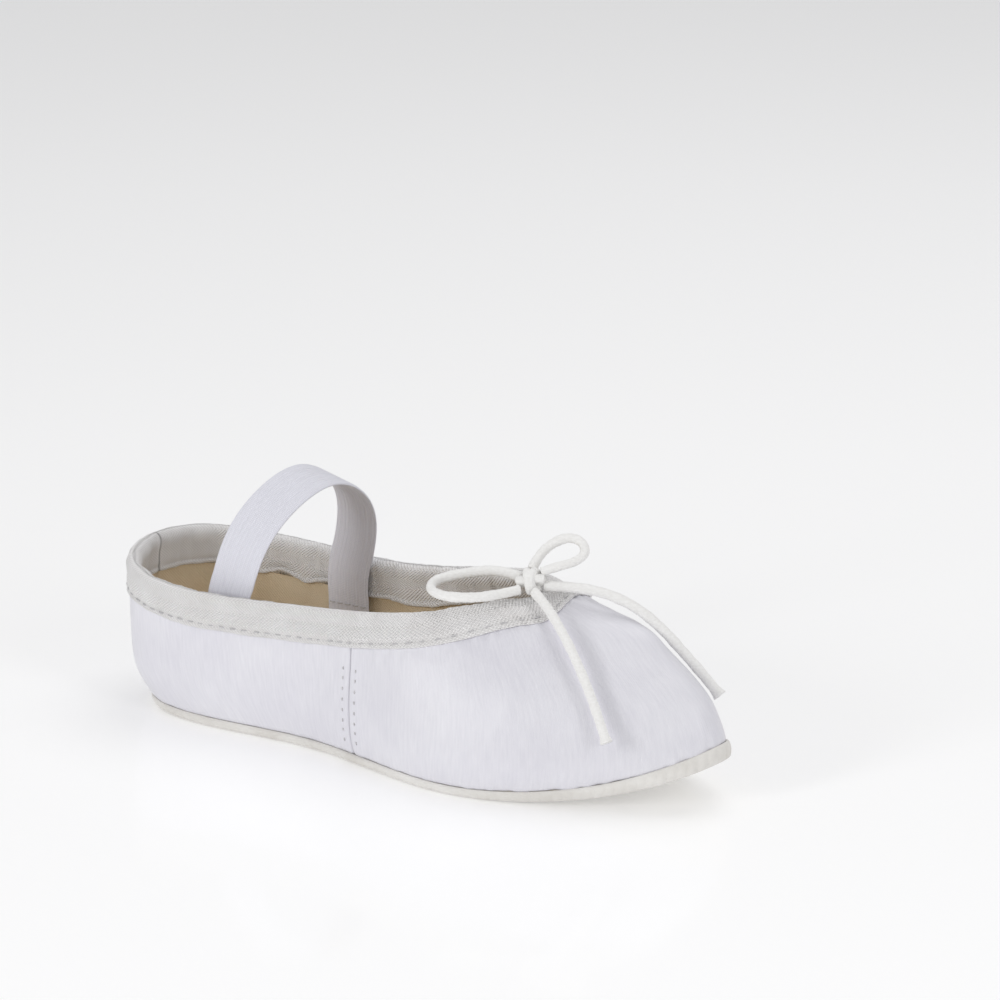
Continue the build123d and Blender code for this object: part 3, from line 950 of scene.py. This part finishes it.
def strap_piece():
    """Ribbed elastic, sewn inside the binding on both sides and bowed over the instep."""
    reach = strap_reach + strap_ease
    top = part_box("elastic_strap")[1][2] / MM
    crown = (top - strap_hinge - strap_width / 2 * sin(strap_lean)) / cos(strap_lean) - strap_thickness / 2
    line = [(reach, height) for height in np.linspace(end_corners[0][2] - strap_hinge, 0, 24)[:-1]]
    for angle in np.linspace(0, pi, 97):
        bulge = 1 + 0.10 * sin(2 * angle) ** 2
        line.append((reach * cos(angle) * bulge, crown * sin(angle)))
    line += [(-y, h) for y, h in reversed(line[:23])]
    line = np.array(line)
    ahead = np.gradient(line, axis=0)
    ahead /= np.linalg.norm(ahead, axis=1, keepdims=True)
    out = np.stack([ahead[:, 1], -ahead[:, 0]], axis=1)
    run = np.concatenate([[0], np.cumsum(np.linalg.norm(np.diff(line, axis=0), axis=1))])
    across = np.linspace(-1, 1, 53) * strap_width / 2
    ribs, rib_depth = 10, 0.11
    edge = np.sqrt(np.clip(1 - (np.abs(across) / (strap_width / 2)) ** 14, 0, 1))
    rib = rib_depth * np.cos(2 * pi * across * ribs / strap_width)
    half_thickness = (strap_thickness / 2 - rib_depth + rib) * (0.25 + 0.75 * edge)
    sections = list(zip(across, half_thickness))
    sections += [(a, -t) for a, t in reversed(sections)]
    points, flat = [], []
    for (y, height), (oy, oz), distance in zip(line, out, run):
        lean = strap_lean * min(max((height + 7) / 14, 0), 1)
        tall = np.array([sin(lean), 0, cos(lean)])
        wide = np.array([cos(lean), 0, -sin(lean)])
        centre = np.array([strap_position + y * strap_slant, y, strap_hinge]) + tall * height
        facing = np.array([0, oy, 0]) + tall * oz
        for a, t in sections:
            points.append(centre + wide * a + facing * t)
            flat.append((distance, a, 0))
    cols = len(sections)
    faces = quads(len(line), cols, close_cols=True)
    faces.append(tuple(range(cols))[::-1])
    faces.append(tuple((len(line) - 1) * cols + k for k in range(cols)))
    piece = mesh_piece("instep_elastic", points, faces, flat)
    finish_piece(piece, None, "elastic", elastic, "elastic_strap", "strap_end_right", "strap_end_left")
    return piece, run[-1]


strap, strap_run = strap_piece()
declare_cloth(strap, (strap_width, strap_run, strap_width * strap_run))


# ---------------------------------------------------------------- stitches


def stitch_piece(name, spots, node, length=2.0, width=0.42):
    """Thread laid on the cloth: spots are pairs of a place, the thread's direction and the cloth's normal."""
    points, faces = [], []
    steps, sides = 7, 6
    for centre, ahead, out in spots:
        ahead = ahead / np.linalg.norm(ahead)
        out = out / np.linalg.norm(out)
        side = np.cross(ahead, out)
        first = len(points)
        for s in np.linspace(-1, 1, steps):
            middle = centre + ahead * s * length / 2 + out * (0.10 - 0.42 * s**4)
            thick = width / 2 * (1 - 0.25 * s**4)
            for k in range(sides):
                angle = 2 * pi * k / sides
                points.append(middle + thick * (0.8 * cos(angle) * out + sin(angle) * side))
        faces += quads(steps, sides, first, close_cols=True)
        faces.append(tuple(first + k for k in range(sides))[::-1])
        faces.append(tuple(first + (steps - 1) * sides + k for k in range(sides)))
    piece = mesh_piece(name, points, faces)
    return finish_piece(piece, "root", "thread", thread_painted_shade, node)


def side_spot(x, side, height):
    """Place, upward direction and normal on the satin's side."""
    i = int(np.argmin(abs(heights - height)))
    row = table[i]
    at = [
        (x + dx, side * np.interp(x + dx, row[:, 0], row[:, 1]), heights[i])
        for dx in (-1.0, 0.0, 1.0)
    ]
    above = np.array((x, side * np.interp(x, table[i + 4][:, 0], table[i + 4][:, 1]), heights[i + 4]))
    here = np.array(at[1])
    rise = above - here
    ahead = np.array(at[2]) - np.array(at[0])
    out = np.cross(ahead, rise) * -side
    return here, rise, out / np.linalg.norm(out)


stitch_pitch = 2.7
seam_spots = []
for side in (-1, 1):
    for x in (seam_position - seam_row_offset, seam_position + seam_row_offset):
        for height in np.arange(seam_start, side_height - binding_depth - seam_head, stitch_pitch):
            here, rise, out = side_spot(x, side, height)
            lift = satin_ripple(here, 20, 10)
            seam_spots.append((here + out * lift, rise, out))
stitch_piece("side_seam_threads", seam_spots, "side_seam_stitches", seam_stitch)

heel_line = columns([0.0])[0]
heel_spots = []
for height in np.arange(seam_start, heel_height - binding_depth - heel_seam_head, stitch_pitch):
    for side in (-1, 1):
        i = int(np.argmin(abs(heights - height)))
        y = side * seam_row_offset
        back_row = table[i][:60]
        x = float(np.interp(seam_row_offset, back_row[:, 1], back_row[:, 0]))
        here = np.array([x, y, heights[i]])
        rise = heel_line[i + 4] - heel_line[i - 4]
        out = np.array([-1.0, 0.25 * side, 0.0])
        heel_spots.append((here + out * satin_ripple(here, 20, 10), rise, out))
stitch_piece("heel_seam_threads", heel_spots, "heel_seam_stitches", seam_stitch)

row_points, row_normals = ring.grid(ring.down([binding_row_depth]))
binding_spots = []
places_round = np.arange(0, ring.lap, binding_pitch)
for place in places_round:
    i = int(np.argmin(abs(ring.around - place)))
    ahead = row_points[(i + 1) % len(row_points), 0] - row_points[i - 1, 0]
    binding_spots.append((row_points[i, 0] + row_normals[i, 0] * 0.56, ahead, row_normals[i, 0]))
stitch_piece("binding_threads", binding_spots, "binding_stitches", row_stitch)

strap_spots = []
for side in (-1, 1):
    for height in (end_corners[1][2] - 2, end_corners[0][2] + 2):
        for step in range(-2, 3):
            y = side * (strap_reach + strap_ease - strap_thickness / 2)
            centre = np.array([strap_position + y * strap_slant + 2.4 * step, y, height])
            strap_spots.append((centre, np.array([1.0, 0, 0]), np.array([0.0, -side, 0.0])))
stitch_piece("strap_threads", strap_spots, "strap_stitches", row_stitch)

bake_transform(strap)


# ---------------------------------------------------------------- floor and light


def stage_floor():
    mesh = bpy.data.meshes.new("floor")
    mesh.from_pydata([(-6, -6, 0), (6, -6, 0), (6, 6, 0), (-6, 6, 0)], [], [(0, 1, 2, 3)])
    floor = bpy.data.objects.new("floor", mesh)
    floor.location.z = -0.0002
    bpy.context.scene.collection.objects.link(floor)
    look, tree, shader = new_look(
        "floor_gloss", (0.93, 0.93, 0.93), 0.5, Specular_IOR_Level=0.3, Coat_Weight=0.6, Coat_Roughness=0.10,
        Emission_Color=(1, 1, 1, 1), Emission_Strength=0.20,
    )
    floor.data.materials.append(look)


def soft_light(name, place, aim, size, power, colour=(1, 1, 1)):
    light = bpy.data.lights.new(name, "AREA")
    light.shape = "RECTANGLE"
    light.size, light.size_y = size
    light.energy = power
    light.color = colour
    lamp = bpy.data.objects.new(name, light)
    lamp.location = place
    lamp.rotation_euler = (Vector(aim) - Vector(place)).to_track_quat("-Z", "Y").to_euler()
    bpy.context.scene.collection.objects.link(lamp)


stage_floor()
soft_light("key_light", (-0.35, -1.0, 0.38), (0.02, 0, 0.02), (0.22, 0.5), 3.2)
soft_light("top_light", (0.1, 0.45, 1.1), (0, 0, 0), (0.9, 0.9), 3.4)
soft_light("side_light", (0.95, -0.30, 0.45), (0.03, 0, 0.02), (0.25, 0.6), 1.6)
world = bpy.data.worlds.new("studio")
world.use_nodes = True
world.node_tree.nodes["Background"].inputs[0].default_value = (0.96, 0.96, 0.97, 1)
world.node_tree.nodes["Background"].inputs[1].default_value = 0.56
bpy.context.scene.world = world
bpy.context.scene.view_settings.view_transform = "Standard"
